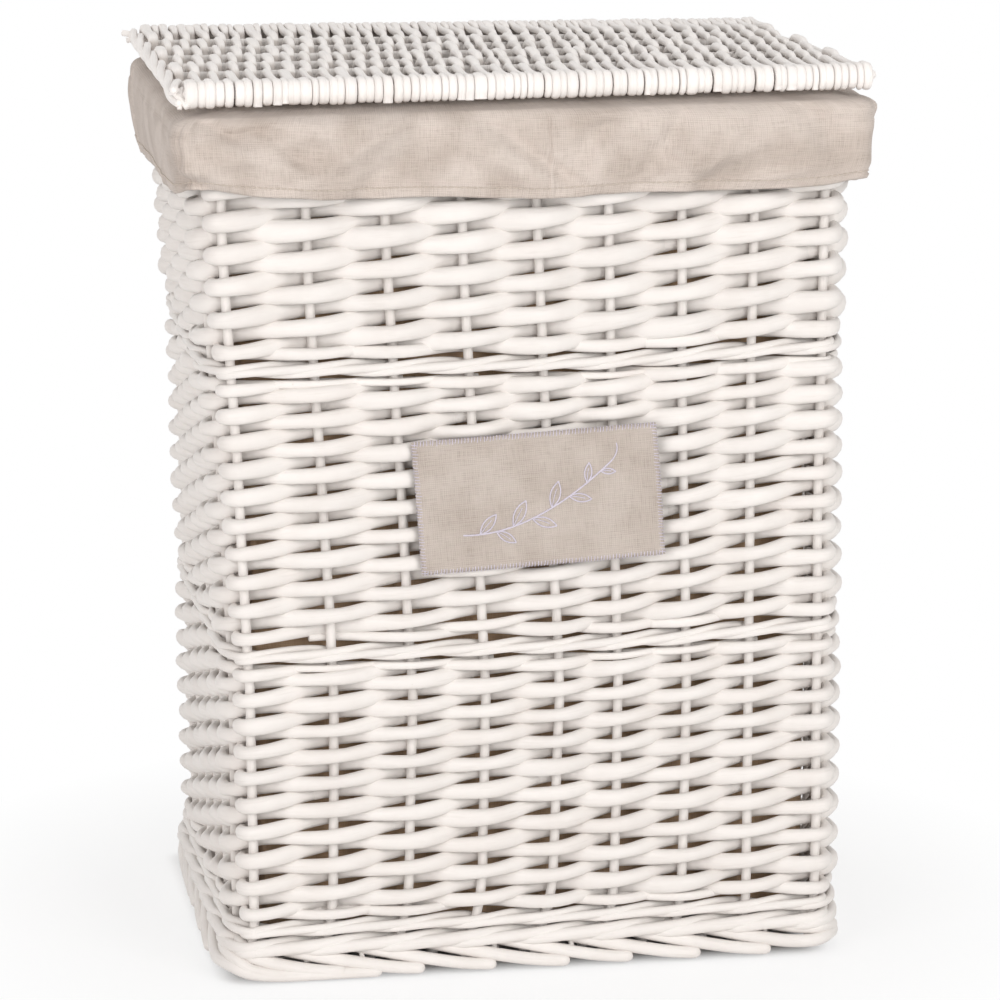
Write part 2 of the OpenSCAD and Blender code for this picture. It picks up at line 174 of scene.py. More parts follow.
class Bundle:
    """Rods gathered into one mesh, with a UV along each rod and a tone at each point."""

    def __init__(self):
        self.verts, self.faces, self.uvs, self.tones, self.count = [], [], [], [], 0

    def rod(self, path, radius, ref=UP, sides=10, wide=1.0, ends=("round", "round"), tone=None, square=1):
        """Sweeps a rod: `wide` widens it along `ref`, and `square` below 1 flattens its sides."""
        path = np.asarray(path, float)
        tone = RNG.random() if tone is None else tone
        radius, wide, tone = (np.full(len(path), a, float) for a in (radius, wide, tone))
        way = unit(np.gradient(path, axis=0))
        for end, kind in ((0, ends[0]), (-1, ends[1])):
            r, p, w, k = radius[end], path[end].copy(), way[end].copy(), wide[end]
            for reach, thin in ENDS[kind]:
                at = 0 if end == 0 else len(path)
                path = np.insert(path, at, p + (w if end else -w) * r * reach, 0)
                radius, wide = np.insert(radius, at, r * thin), np.insert(wide, at, k)
                tone, way = np.insert(tone, at, tone[end]), np.insert(way, at, w, 0)
        ref = np.broadcast_to(np.asarray(ref, float), way.shape)
        e1 = unit(ref - (ref * way).sum(1, keepdims=True) * way)
        e2 = np.cross(way, e1)
        turn = np.arange(sides) * 2 * np.pi / sides
        cos, sin = (np.sign(a) * np.abs(a) ** square for a in (np.cos(turn), np.sin(turn)))
        across, over = (radius * wide)[:, None] * e1, radius[:, None] * e2
        ring = path[:, None] + cos[:, None] * across[:, None] + sin[:, None] * over[:, None]
        n, base = len(path), self.count
        offset = RNG.random() * 40
        faces = quads(n, sides)
        self.faces += (faces + base).tolist()
        u = (faces[:, :1] % sides + (0, 1, 1, 0)) / sides
        v = lengths_along(path)[faces // sides] * 0.01 + offset
        self.uvs.append(np.stack([u, v], -1).reshape(-1, 2))
        for first, order in ((0, range(sides - 1, -1, -1)), ((n - 1) * sides, range(sides))):
            self.faces.append([base + first + m for m in order])
            self.uvs.append(np.array([[m / sides, offset] for m in order]))
        self.verts.append(ring.reshape(-1, 3))
        self.tones.append(np.repeat(tone, sides))
        self.count += n * sides

    def make(self, name, material, body, nodes=(), slot="willow_white"):
        return make_mesh(name, np.concatenate(self.verts), self.faces, material, body, nodes,
                         np.concatenate(self.uvs), np.concatenate(self.tones))


def put(name, data):
    """A new object in the scene."""
    thing = bpy.data.objects.new(name, data)
    bpy.context.scene.collection.objects.link(thing)
    return thing


def make_mesh(name, verts, faces, material, body, nodes, uvs, tones=None):
    mesh = bpy.data.meshes.new(name)
    mesh.from_pydata((np.asarray(verts) * MM).tolist(), [], faces)
    mesh.polygons.foreach_set("use_smooth", np.ones(len(mesh.polygons), bool))
    mesh.uv_layers.new(name="UVMap").data.foreach_set("uv", np.asarray(uvs, np.float32).ravel())
    if tones is not None:
        tone = mesh.attributes.new("tone", "FLOAT", "POINT")
        tone.data.foreach_set("value", np.asarray(tones, np.float32))
    mesh.materials.append(material)
    mesh.update()
    piece = put(name, mesh)
    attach(piece, body)
    if nodes:
        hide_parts(*nodes)
    return piece


def face_out(piece):
    """Turns a closed mesh's faces outwards."""
    work = bmesh.new()
    work.from_mesh(piece.data)
    bmesh.ops.recalc_face_normals(work, faces=work.faces)
    work.to_mesh(piece.data)
    work.free()


def hermite(p0, m0, p1, m1, steps):
    """A smooth run between two places with a given flow at each, without its last place."""
    t = (np.arange(steps) / steps)[:, None]
    return (p0 * (2 * t**3 - 3 * t**2 + 1) + m0 * (t**3 - 2 * t**2 + t)
            + p1 * (3 * t**2 - 2 * t**3) + m1 * (t**3 - t**2))


# ---- materials

class Nodes:
    """Builds the node tree of a new material, or of the world."""

    def __init__(self, name, world=None):
        self.owner = world or bpy.data.materials.new(name)
        self.owner.use_nodes = True
        self.tree = self.owner.node_tree
        self.tree.nodes.clear()

    def add(self, kind, inputs, **settings):
        node = self.tree.nodes.new("ShaderNode" + kind)
        for key, value in settings.items():
            setattr(node, key, value)
        for key, value in inputs.items():
            if isinstance(value, bpy.types.NodeSocket):
                self.tree.links.new(value, node.inputs[key])
            else:
                node.inputs[key].default_value = value
        return node

    def ramp(self, factor, stops):
        node = self.add("ValToRGB", {"Fac": factor})
        band = node.color_ramp
        while len(band.elements) < len(stops):
            band.elements.new(0.5)
        for element, (place, colour) in zip(band.elements, stops):
            element.position, element.color = place, (*colour, 1)
        return node.outputs["Color"]

    def mix(self, factor, a, b, blend="MIX"):
        a, b = ((*colour, 1) if isinstance(colour, tuple) else colour for colour in (a, b))
        return self.add("Mix", {0: factor, 6: a, 7: b}, data_type="RGBA", blend_type=blend).outputs[2]

    def math(self, operation, a, b=0.0, c=0.0):
        return self.add("Math", {0: a, 1: b, 2: c}, operation=operation).outputs[0]

    def noise(self, at, scale, detail=2.0, roughness=0.5, output="Fac"):
        node = self.add("TexNoise", {"Vector": at, "Scale": scale, "Detail": detail, "Roughness": roughness})
        return node.outputs[output]

    def vector(self, operation, a, b=(0, 0, 0)):
        other = "Scale" if operation == "SCALE" else 1
        node = self.add("VectorMath", {0: a, other: b}, operation=operation)
        return node.outputs["Value" if operation == "LENGTH" else "Vector"]

    def finish(self, colour, roughness, normal, **more):
        shader = self.add("BsdfPrincipled", {"Base Color": colour, "Roughness": roughness,
                                             "Normal": normal, **more})
        self.add("OutputMaterial", {0: shader.outputs[0]})
        return self.owner


def srgb(text):
    v = [int(text[i : i + 2], 16) / 255 for i in (0, 2, 4)]
    return tuple(c / 12.92 if c <= 0.04045 else ((c + 0.055) / 1.055) ** 2.4 for c in v)


def willow_material(name, light, mid, dark, unwrapped=True):
    """Painted willow: fine streaks along each rod, with faint stains and a rod's own tone.

    Tones from 0 to 1 are a rod's own, and tones above 1 paint shade onto the strands where they cross.
    """
    n = Nodes(name)
    where = n.add("TexCoord", {}).outputs["Object"]
    uv = n.add("UVMap", {}, uv_map="UVMap").outputs[0] if unwrapped else n.vector("SCALE", where, 10.0)
    tone = n.add("Attribute", {}, attribute_name="tone").outputs["Fac"]
    streak_at = n.add("Mapping", {"Vector": uv, "Scale": (9.0, 2.2, 1.0)}).outputs[0]
    streak = n.noise(streak_at, 1.4, 4.0, 0.6)
    stain, grain = n.noise(where, 26.0, 3.0, 0.55), n.noise(where, 900.0)
    worn = n.noise(where, 140.0, 4.0, 0.7)
    base = n.ramp(stain, [(0.32, mid), (0.55, light), (0.8, light)])
    lines = n.ramp(streak, [(0.28, dark), (0.45, light), (1.0, light)])
    colour = n.mix(0.30, base, lines, "MULTIPLY")
    own = n.ramp(tone, [(0.0, tuple(0.90 * c for c in light)), (0.5, light), (1.0, mid)])
    colour = n.mix(0.35, colour, own)
    # Painted shade: tones from 1 to 2 mix the colour towards the dark one.
    shade = n.add("MapRange", {"Value": tone, "From Min": 1.0, "From Max": 2.0}).outputs[0]
    colour = n.mix(n.math("MULTIPLY", shade, 0.85), colour, dark)
    spots = n.ramp(worn, [(0.70, (0, 0, 0)), (0.80, (1, 1, 1))])
    colour = n.mix(n.math("MULTIPLY", spots, 0.35), colour, dark)
    height = n.math("ADD", n.math("MULTIPLY", streak, 0.7), n.math("MULTIPLY", grain, 0.25))
    bump = n.add("Bump", {"Height": height, "Strength": 0.35, "Distance": 0.0006})
    return n.finish(colour, 0.52, bump.outputs[0], **{"Specular IOR Level": 0.35})


def linen_material(name, light, mid, dark, thread=0.55):
    """Plain-woven linen: crossed threads `thread` mm apart in a UV in cm, with slubs and soft tone."""
    n = Nodes(name)
    uv = n.add("UVMap", {}, uv_map="UVMap").outputs[0]
    drift = n.noise(uv, 0.9, 3.0, output="Color")
    shaken = n.vector("ADD", uv, n.vector("SCALE", drift, 0.06))
    rate = 10.0 / thread / 2
    warp, weft = (n.add("TexWave", {"Vector": shaken, "Scale": rate / 3.6, "Distortion": 1.0,
                                    "Detail": 1.0, "Detail Scale": 2.0},
                        wave_type="BANDS", bands_direction=axis).outputs["Fac"] for axis in "XY")
    stretched = [n.add("Mapping", {"Vector": uv, "Scale": scale}).outputs[0]
                 for scale in ((0.5, 9.0, 1.0), (9.0, 0.5, 1.0))]
    slub_x, slub_y = (n.noise(at, 1.5, 3.0, 0.6) for at in stretched)
    # Soft darker blotches over the cloth: painted shade, standing in for the shading of its folds.
    tone = n.ramp(n.noise(uv, 0.30, 2.0, 0.45), [(0.34, mid), (0.60, light)])
    slubs = n.math("MULTIPLY", n.math("ADD", slub_x, slub_y), 0.5)
    slub_tone = n.ramp(slubs, [(0.36, dark), (0.52, light), (0.7, light)])
    colour = n.mix(0.38, tone, slub_tone)
    weave = n.math("MULTIPLY", warp, weft)
    holes = n.ramp(weave, [(0.0, dark), (0.22, light), (1.0, light)])
    colour = n.mix(0.20, colour, holes)
    height = n.math("ADD", weave, n.math("MULTIPLY", slubs, 1.4))
    bump = n.add("Bump", {"Height": height, "Strength": 0.4, "Distance": 0.0005})
    return n.finish(colour, 0.92, bump.outputs[0],
                    **{"Specular IOR Level": 0.15, "Sheen Weight": 0.15, "Sheen Roughness": 0.5})


def thread_material(name, light, dark):
    """Twisted sewing thread."""
    n = Nodes(name)
    uv = n.add("UVMap", {}, uv_map="UVMap").outputs[0]
    twist = n.add("TexWave", {"Vector": uv, "Scale": 9.0, "Distortion": 0.6}, wave_type="BANDS",
                  bands_direction="DIAGONAL")
    colour = n.mix(0.25, n.ramp(twist.outputs["Fac"], [(0.1, dark), (0.6, light)]),
                   n.ramp(n.noise(uv, 40.0, 3.0), [(0.3, dark), (0.6, light)]))
    bump = n.add("Bump", {"Height": twist.outputs["Fac"], "Strength": 0.5, "Distance": 0.0002})
    return n.finish(colour, 0.7, bump.outputs[0], **{"Specular IOR Level": 0.25})


WILLOW_TONES = (0.83, 0.80, 0.775), (0.775, 0.735, 0.705), (0.52, 0.455, 0.40)
WILLOW = willow_material("painted_willow", *WILLOW_TONES)
# The lid's willow: its dark colour is deeper, for the painted shade where strands cross, and its light colour
# is lighter to make up for that shade.
LID_WILLOW = willow_material("painted_willow_lid", (0.90, 0.87, 0.848), (0.84, 0.81, 0.785),
                             (0.36, 0.29, 0.24))
CAD_WILLOW = willow_material("painted_willow_plain", *WILLOW_TONES, unwrapped=False)
CAD_CANE = willow_material("cane_plain", (0.80, 0.76, 0.72), (0.72, 0.67, 0.62), (0.45, 0.38, 0.32),
                           unwrapped=False)
for node, material in (("base_sticks", CAD_WILLOW), ("base_weave", CAD_WILLOW), ("hinge_loops", CAD_CANE)):
    for place in bpy.data.objects[node].material_slots:
        place.material = material
LINEN = linen_material("beige_linen", srgb("D2C7BF"), srgb("AFA298"), srgb("8E8075"))
# A darker brown linen for the bag's outer side: painted shade, so the gaps in the weave read dark.
LINER_PAINTED_SHADE = linen_material("linen_painted_shade", srgb("C6AA8E"), srgb("B4997E"), srgb("8E745E"))
PATCH = linen_material("patch_linen", srgb("C4BAB2"), srgb("ADA198"), srgb("85786E"), 0.6)
THREAD = thread_material("lilac_thread", srgb("E6E0EA"), srgb("C4BDD0"))
HEM_THREAD = thread_material("hem_thread", srgb("DCD2C8"), srgb("B5A899"))

# ---- the wall's weave

# The stakes before each corner: 1 where a front or back stake leads into it, -1 where an end stake does.
CORNERS = {8: 1, 14: -1, 23: 1, 29: -1}


def corner_points(front, end, side_f, side_e, radius, steps):
    """Round a corner from a front or back stake to the end stake next to it."""
    (pf, nf, _), (pe, ne, _) = front, end
    a, b = pf + side_f * radius * nf, pe + side_e * radius * ne
    if side_f > 0 and side_e < 0:
        turn = pf + radius * ne
        first = hermite(a, ne * radius * 1.6, turn, -nf * radius * 1.6, steps // 2)
        reach = np.linalg.norm(b - turn)
        return np.concatenate([first, hermite(turn, -nf * reach, b, -nf * reach, steps)])
    out = abs(np.dot(b - a, ne)), abs(np.dot(b - a, nf))
    return hermite(a, ne * out[0] * 1.62, b, -nf * out[1] * 1.62, steps + steps // 2)


def weave(stops, steps=8, cut=(0.78, 0.24)):
    """A rod's path. Each stop is (stake, side, offset from the wall line, height, rise).

    `cut` is the share of the first run left out, and of the last run kept; 0 keeps a whole run.
    """
    points = []
    for (s0, side0, off0, z0, m0), (s1, side1, off1, z1, m1) in zip(stops[:-1], stops[1:]):
        first, last = stake(s0, z0), stake(s1, z1)
        kind, off = CORNERS.get(s0 % STAKES), (off0 + off1) / 2
        if kind is None:
            (pa, na, ta), (pb, _, _) = first, last
            a, b = pa + side0 * off0 * na, pb + side1 * off1 * na
            along = ta * abs(np.dot(b - a, ta))
            run = hermite(a, along, b, along, steps)
        elif kind > 0:
            run = corner_points(first, last, side0, side1, off, steps)
        else:
            run = corner_points(last, first, side1, side0, off, steps)
            run = np.concatenate([run, [first[0] + side0 * off * first[1]]])[::-1][:-1]
        run[:, 2] = hermite(z0, m0, z1, m1, len(run))[:, 0]
        if not points:
            run = run[int(len(run) * cut[0]) :]
        points.append(run)
    last = points.pop()
    if cut[1]:
        points.append(last[: max(2, int(len(last) * cut[1]) + 1)])
    else:
        s, side, off, z, _ = stops[-1]
        p, n, _ = stake(s, z)
        points += [last, (p + side * off * n)[None]]
    points = np.concatenate(points)
    points[:, 2] += lift(*points.T)
    return points


TAIL = 4.0  # a row thins over this many stakes at its start and its end
SOFT = 1.4  # how softly the first and last rows press on the band's edges, in mm


def siding(name, per_turn=14):
    """One band of randing: rods that climb to the right, one behind and one before each stake."""
    low, high = BANDS[name]
    pitch = (high - low) / ROWS[name]
    climb = pitch * per_turn / STAKES
    bundle = Bundle()

    def height(even, r):
        """Height of a rod of radius r: rows lie closer near the top and stay inside the band."""
        t = np.clip((even - low) / (high - low), -0.2, 1.2)
        z = low + (high - low) * (t + 0.07 * t * (1 - t))
        z = low + r + SOFT * np.logaddexp(0, (z - low - r) / SOFT)
        return high - r - SOFT * np.logaddexp(0, (high - r - z) / SOFT)

    for h in range(per_turn):
        start = -h * pitch / climb
        first = math.ceil(start - (4.0 if RNG.random() < 0.8 else 1.8))
        final = math.ceil(start + (high - low) / climb + RNG.uniform(-0.6, 0.8))
        first += (first + h + 1) % 2
        final += (final + h + 1) % 2
        bend = RNG.normal(0, 0.28, 80)
        s = first
        while s < final:  # one rod after another, spliced behind a stake
            end = min(s + int(RNG.integers(7, 12)) * 2, final)
            if final - end < 8:
                end = final
            n = np.arange(s - 1, end + 2)
            radii = 0.5 * pitch * RNG.uniform(0.97, 1.08) * (1 - 0.09 * (n - s) / 24)
            radii = radii * np.interp(n - first, [0, TAIL], [0.55, 1])
            radii = radii * np.interp(final - n, [0, TAIL], [0.42, 1])
            stops = []
            for k, r in zip(n, radii):
                even = low + pitch * (h + 0.5) + climb * k + bend[k % 80]
                rise = (height(even + climb, r) - height(even - climb, r)) / 2
                side = 1 if (k + h) % 2 == 0 else -1
                off = STAKE_R + r * 0.95 + RNG.normal(0, 0.15)
                stops.append((k, side, off, height(even, r), rise * (0.75 if side > 0 else 1.1)))
            path = weave(stops)
            turn, spots = np.linspace(0, 1, len(path)), np.linspace(0, 1, len(stops))
            sides = np.interp(turn, spots, [stop[1] for stop in stops])
            wide = FILL[name] - 0.18 * sides  # slimmer outside, fuller inside
            wide = wide + 0.03 * np.sin(turn * 41 + h) + 0.02 * np.sin(turn * 97 + 2 * h)
            bundle.rod(path, np.interp(turn, spots, radii) * 0.97, wide=wide, ends=("cut", "cut"), sides=12)
            s = end
    sides = ("front", "right", "back", "left")
    bundle.make("weave_" + name, WILLOW, "basket", [f"siding_{side}_{name}" for side in sides])


def wale(bundle, middle, swing, r, strands=3, phase=0):
    """Twisted strands that each pass before two stakes and behind one, rising as they go."""
    for k in range(strands):
        stops = []
        for s in range(STAKES + 1):
            step = (s - k - phase) % strands
            out = step < strands - 1
            up = ((step + 0.5) / (strands - 1) - 0.5) * 2 * swing * 0.62 if out else 0.0
            rise = 2 * swing / (strands - 1) * 1.15 if out else -2.1 * swing
            z = middle + up + RNG.normal(0, 0.12)
            stops.append((s, 1 if out else -1, STAKE_R + r * (1.0 if step else 1.25), z, rise))
        stops[-1] = (STAKES, *stops[0][1:])
        path = weave(stops, cut=(0, 0))
        wob = 1 + 0.05 * np.sin(np.linspace(0, 40, len(path)) + k * 2)
        bundle.rod(path, r * wob)


for band in BANDS:
    siding(band)

for ring in ("lower", "upper"):
    lo, hi = span("wale_" + ring, 2)
    rope = Bundle()
    wale(rope, (lo + hi) / 2, 5.0, 2.85)
    rope.make("ring_" + ring, WILLOW, "basket", ["wale_" + ring])

lo, hi = span("wale_foot", 2)
foot_rope = Bundle()
wale(foot_rope, lo + 7.6, 4.8, 4.4)
wale(foot_rope, hi - 6.4, 4.2, 3.0, phase=1)
foot_rope.make("foot_wale", WILLOW, "basket", ["wale_foot"])

rim = Bundle()
wale(rim, rim_z - 1.5, 3.4, 3.1)
rim.make("rim_border_rods", WILLOW, "basket", ["rim_border"])

# ---- stakes

for name, numbers in {"front": range(FIRST_RIGHT), "right": range(FIRST_RIGHT, FIRST_BACK),
                      "back": range(FIRST_BACK, FIRST_LEFT), "left": range(FIRST_LEFT, STAKES)}.items():
    bundle = Bundle()
    z_lo, z_hi = span("stakes_" + name, 2)
    for s in numbers:
        z = np.linspace(z_lo + 3, z_hi - 1, 60)
        path = np.array([stake(s, h)[0] for h in z])
        wobble, up = np.cumsum(RNG.normal(0, 0.12, (60, 2)), 0), np.linspace(0, 1, 60)
        path[:, :2] += wobble - up[:, None] * wobble[-1]
        bundle.rod(path, STAKE_R * (1.0 - 0.05 * up), ref=(0.3, 1.0, 0.1))
    bundle.make("stakes_" + name + "_rods", WILLOW, "basket", ["stakes_" + name])

# ---- foot border

foot = Bundle()


def wall_place(u, out, z):
    """A place u gaps round the wall, out mm from its line, with the corners rounded."""
    s = int(math.floor(u))
    t = u - s
    (pa, na, flow_a), (pb, nb, flow_b) = stake(s, z), stake(s + 1, z)
    if s % STAKES in CORNERS:
        pa, pb = pa + na * out, pb + nb * out
        la, lb = abs(np.dot(pb - pa, flow_a)), abs(np.dot(pb - pa, flow_b))
        p = hermite(pa, flow_a * la * 1.6, pb, flow_b * lb * 1.6, 100)[int(t * 99.99)]
    else:
        p = (pa * (1 - t) + pb * t) + na * out
    p[2] = z
    return p


# A foot rod's run: gaps along the wall, mm out from its line, height.
FOOT_RUN = [0, 0.4, 0.9, 1.4, 1.9, 2.45]
FOOT_OUT = [-3.5, 2.2, 6.6, 9.4, 11.0, 11.2]
FOOT_Z = [24.0, 21.0, 16.8, 12.4, 8.2, 5.8]
for s in range(STAKES):
    reach = 2.28 + RNG.uniform(-0.1, 0.12)
    if any(-0.4 < s + reach - c < 1.5 for c in CORNERS):
        reach += 1.5  # no rod ends on a corner
    v = np.linspace(-0.1, reach, 36)
    out, z = (np.convolve(np.pad(np.interp(v, FOOT_RUN, a), 3, mode="edge"), np.ones(7) / 7, "valid")
              for a in (FOOT_OUT, FOOT_Z))
    path = []
    for k in range(len(v)):
        off_corner = min(abs((s + v[k] - c - 0.5 + 15) % STAKES - 15) for c in CORNERS)
        path.append(wall_place(s + v[k], out[k], z[k] + 6.0 * math.exp(-((off_corner / 0.55) ** 2))))
    path = np.array(path)
    back_left = np.clip((-path[:, 0] - 150) / 60, 0, 1) * np.clip((path[:, 1] + 80) / 220, 0, 1)
    path[:, 0] += 5.0 * back_left
    r = np.interp(v, [0, 1.0, reach], [3.9, 4.5, 4.0])
    foot.rod(path, r * RNG.uniform(0.95, 1.05), sides=12)
for _ in range(34):  # cut ends of the foot's rods
    u = RNG.uniform(0, STAKES)
    top = wall_place(u, 2.5, RNG.uniform(21, 26))
    low = wall_place(u + RNG.uniform(-0.08, 0.12), 5.0, RNG.uniform(12, 16))
    foot.rod(np.linspace(top, low, 6), RNG.uniform(1.5, 2.4), ref=(0.9, 0.4, 0.1), ends=("round", "cut"))
for x in (-172, -163, -150):  # ends of base sticks under the front
    foot.rod(np.linspace((x, -144, 9), (x + 2, -152, 3.2), 5), 2.9, ends=("round", "cut"))
foot.make("foot_border_rods", WILLOW, "basket", ["foot_border"])

# ---- lid

STICK_GAP = 43.68
STICKS = [(k - 2.5) * STICK_GAP for k in range(6)]
LID_R = 3.3  # radius of a bar or stick of the lid
BUTT = 3.05  # half the depth of the thickest strand
ASKEW, TWIST, DROOP = 7.5, 3.0, 0.4


def lid_lean(x, y):
    """The lid sits askew by a few mm: its front edge stands to the left."""
    return -ASKEW * (lid_y - y) / (2 * lid_y) * (0.65 - 0.35 * x / DIP_X)


def lid_twist(x, y):
    """The front left corner of the lid droops and the front right one lifts."""
    return (TWIST * np.clip(x / DIP_X, -1, 1) - DROOP) * np.clip((lid_y - y) / (2 * lid_y), 0, 1)


def on_lid(x, y, up=0.0):
    """Places on the lid, `up` mm above its middle."""
    return np.stack(np.broadcast_arrays(x + lid_lean(x, y), y, lid_z + lid_twist(x, y) + up), 1)


sticks = Bundle()
for y in STICKS:
    path = on_lid(np.linspace(-lid_x + 6, lid_x - 6, 50), y)
    wobble = np.cumsum(RNG.normal(0, 0.05, 50))
    path[:, 1] += wobble - np.linspace(0, wobble[-1], 50)
    sticks.rod(path, LID_R)
sticks.make("lid_cross_sticks", LID_WILLOW, "lid", ["lid_sticks"])
for name, y in (("front", -lid_y), ("back", lid_y)):
    bar = Bundle()
    bar.rod(on_lid(np.linspace(-lid_x + 3.5, lid_x - 3.5, 40), y), LID_R - 0.2, sides=16)
    bar.make(f"lid_{name}_rod", LID_WILLOW, "lid", [f"lid_{name}_bar"])

x_lo, x_hi = span("lid_front_bar", 0) + np.array([2.5, -2.5])
widths = []
while sum(widths) < x_hi - x_lo:
    widths.append(float(RNG.choice([4.2, 4.8, 5.3, 5.9, 6.6, 7.8], p=[0.18, 0.24, 0.22, 0.18, 0.12, 0.06])))
scale = (x_hi - x_lo) / sum(widths)
widths = [w * scale for w in widths]
loose = np.random.default_rng(12)


def lid_strand(bundle, x, width, over_first, tilt):
    """A split strand: over and under the sticks, wrapped round the back and the front bar."""
    phase = 3 * x
    half = BUTT * RNG.uniform(0.82, 1.0)
    sway = RNG.uniform(0.2, 0.8), RNG.uniform(8, 14), RNG.uniform(0, 6)
    rise = LID_R + half
    round_bar = np.radians([-75, -50, -25, 0, 25, 50, 75])
    back = np.stack([lid_y + rise * np.cos(round_bar), rise * np.sin(round_bar)], 1)
    front = back[::-1] * (-1, 1)
    if loose.random() < 0.14:  # an end that hangs below the front bar
        front[-1] = (-lid_y - 0.72 * rise, -rise - loose.uniform(0.2, 1.9))
    spots = [(lid_y, rise)]
    for k, y in enumerate(STICKS[::-1]):
        spots.append((y, rise * (1 if (k % 2 == 0) == over_first else -1)))
    spots.append((-lid_y, rise))
    run, t = [], np.arange(9) / 9
    for (y0, h0), (y1, h1) in zip(spots[:-1], spots[1:]):
        # Between two sticks a strand crosses over, and between a stick and a bar it sags a little.
        up = h0 + (h1 - h0) * smooth((t - 0.2) / 0.6) if h0 != h1 else h0 - np.sin(np.pi * t)
        run.append(np.stack([y0 + (y1 - y0) * t, up], 1))
    y, up = np.concatenate([back, *run, front]).T
    t = (lid_y - y) / (2 * lid_y)
    within = np.clip(t, 0, 1)
    x = x + tilt * within * (1 - within) * 4 + sway[0] * np.sin(sway[1] * t + sway[2])
    level = np.abs(up) / rise
    wrap = smooth((np.abs(y) - lid_y + 8) / 8)
    wide = width / 2 / half * (0.80 + 0.18 * smooth(level) * (1 - wrap) + 0.26 * wrap)
    wide = wide * (1 + 0.07 * np.sin(9 * t + phase))
    # Painted shade where a strand crosses over or under a stick: its tone goes above 1 there.
    crossing_shade = (1 - smooth((level - 0.1) / 0.7)) * (1 - wrap)
    tone = np.where(crossing_shade > 0.02, 1 + 0.7 * crossing_shade, RNG.random())
    bundle.rod(on_lid(x, y, up), half * (0.92 + 0.08 * wrap), tone=tone, ref=(1.0, 0.0, 0.0), wide=wide,
               ends=("cut", "cut"), sides=12, square=0.75)


strands, x = Bundle(), x_lo
for k, w in enumerate(widths):
    lid_strand(strands, x + w / 2, w, k % 2 == 0, RNG.normal(0, 1.1))
    x += w
sides = ("left", "mid_left", "mid_right", "right")
strands.make("lid_weave", LID_WILLOW, "lid", [f"lid_strands_{side}" for side in sides])

# The left edge is three twisted rods with loose ends, and the right edge is one rod.
edges = Bundle()
ex = span("lid_front_bar", 0)[0] - 1.0
y = np.linspace(lid_y + 6, -lid_y - 4, 110)
for k in range(3):
    turn = (lid_y - y) / 24.0 + k * 2 * np.pi / 3
    spread = 3.0 + 2.2 * smooth((-y - lid_y + 60) / 50)
    path = on_lid(ex, y, 0.4) + np.stack([spread * np.cos(turn), 0 * y, spread * np.sin(turn)], 1)
    edges.rod(path, np.interp(y, [-lid_y, 0, lid_y], [2.6, 2.8, 2.6]), ref=(1.0, 0.0, 0.0))
# Loose ends at the front and at the back: their starts, ways and radii.
at_front, at_back = np.array([ex - 3.5, -lid_y, lid_z - 4.4]), np.array([ex, lid_y, lid_z])
t = np.linspace(0, 1, 12)[:, None]
for start, way, r in (((-7, 4, 2.5), (7.2, -11, -6.4), 2.0), ((-7.5, 12, 0.5), (9.6, -13.2, -3.2), 1.8),
                      ((-4.5, 2, 4), (4, -5.5, -7.2), 1.6), ((-2, 2, 4.5), (-2.4, -6.6, -9.6), 1.7)):
    path = at_front + start + t * way + t * t * (0, 0, -2)
    edges.rod(path, r, ref=(0.3, 0.2, 1.0), ends=("round", "cut"))
for start, way, r in (((-2, 0, 2), (-6.3, 4.9, 0.7), 2.2), ((0, -6, 0), (-7, 0.7, -1.4), 2.0)):
    edges.rod(at_back + start + np.linspace(0, 1, 8)[:, None] * way, r, ends=("round", "cut"))
edges.make("lid_edge_left_rods", LID_WILLOW, "lid", ["lid_edge_left"])
edges = Bundle()
y = np.linspace(lid_y + 1, -lid_y + 2, 110)
path = on_lid(-ex, y) + np.stack([0.6 * np.sin(y / 40) - 2, 0 * y, 1.2 * np.cos(y / 30)], 1)
edges.rod(path, 3.4, ref=(1.0, 0.0, 0.0))
edges.make("lid_edge_right_rod", LID_WILLOW, "lid", ["lid_edge_right"])

# ---- liner


def loop(hx, hy, rc, columns):
    """Round a rounded rectangle: place, outward direction and distance, for each column 0..1."""
    legs = [2 * (hx - rc), math.pi / 2 * rc, 2 * (hy - rc), math.pi / 2 * rc] * 2
    ends = np.concatenate([[0], np.cumsum(legs)])
    d = columns * ends[-1]
    place, out = np.zeros((len(d), 2)), np.zeros((len(d), 2))
    starts = [(-hx + rc, -hy), (hx, -hy + rc), (hx - rc, hy), (-hx, hy - rc)]
    centres = [(hx - rc, -hy + rc), (hx - rc, hy - rc), (-hx + rc, hy - rc), (-hx + rc, -hy + rc)]
    for i in range(8):
        here = (d >= ends[i]) & (d <= ends[i + 1])
        t, side = (d[here] - ends[i])[:, None], i // 2
        if i % 2 == 0:
            w = ((1, 0), (0, 1), (-1, 0), (0, -1))[side]
            place[here], out[here] = starts[side] + t * w, (w[1], -w[0])
        else:
            a = (side - 1) * math.pi / 2 + t / max(rc, 1e-6)
            out[here] = np.concatenate([np.cos(a), np.sin(a)], 1)
            place[here] = centres[side] + rc * out[here]
    return place, out, d


def wander(seed, n=6):
    """A smooth random field of two variables, each wave with its own way and phase."""
    g = np.random.default_rng(seed)
    waves = [(g.normal(0, 1), g.normal(0, 1), g.random() * 6.28, 1 / (1 + i)) for i in range(n)]

    def field(a, b):
        return sum(w * np.sin((ka * a + kb * b) * (1 + 0.9 * i) + p)
                   for i, (ka, kb, p, w) in enumerate(waves))

    return field


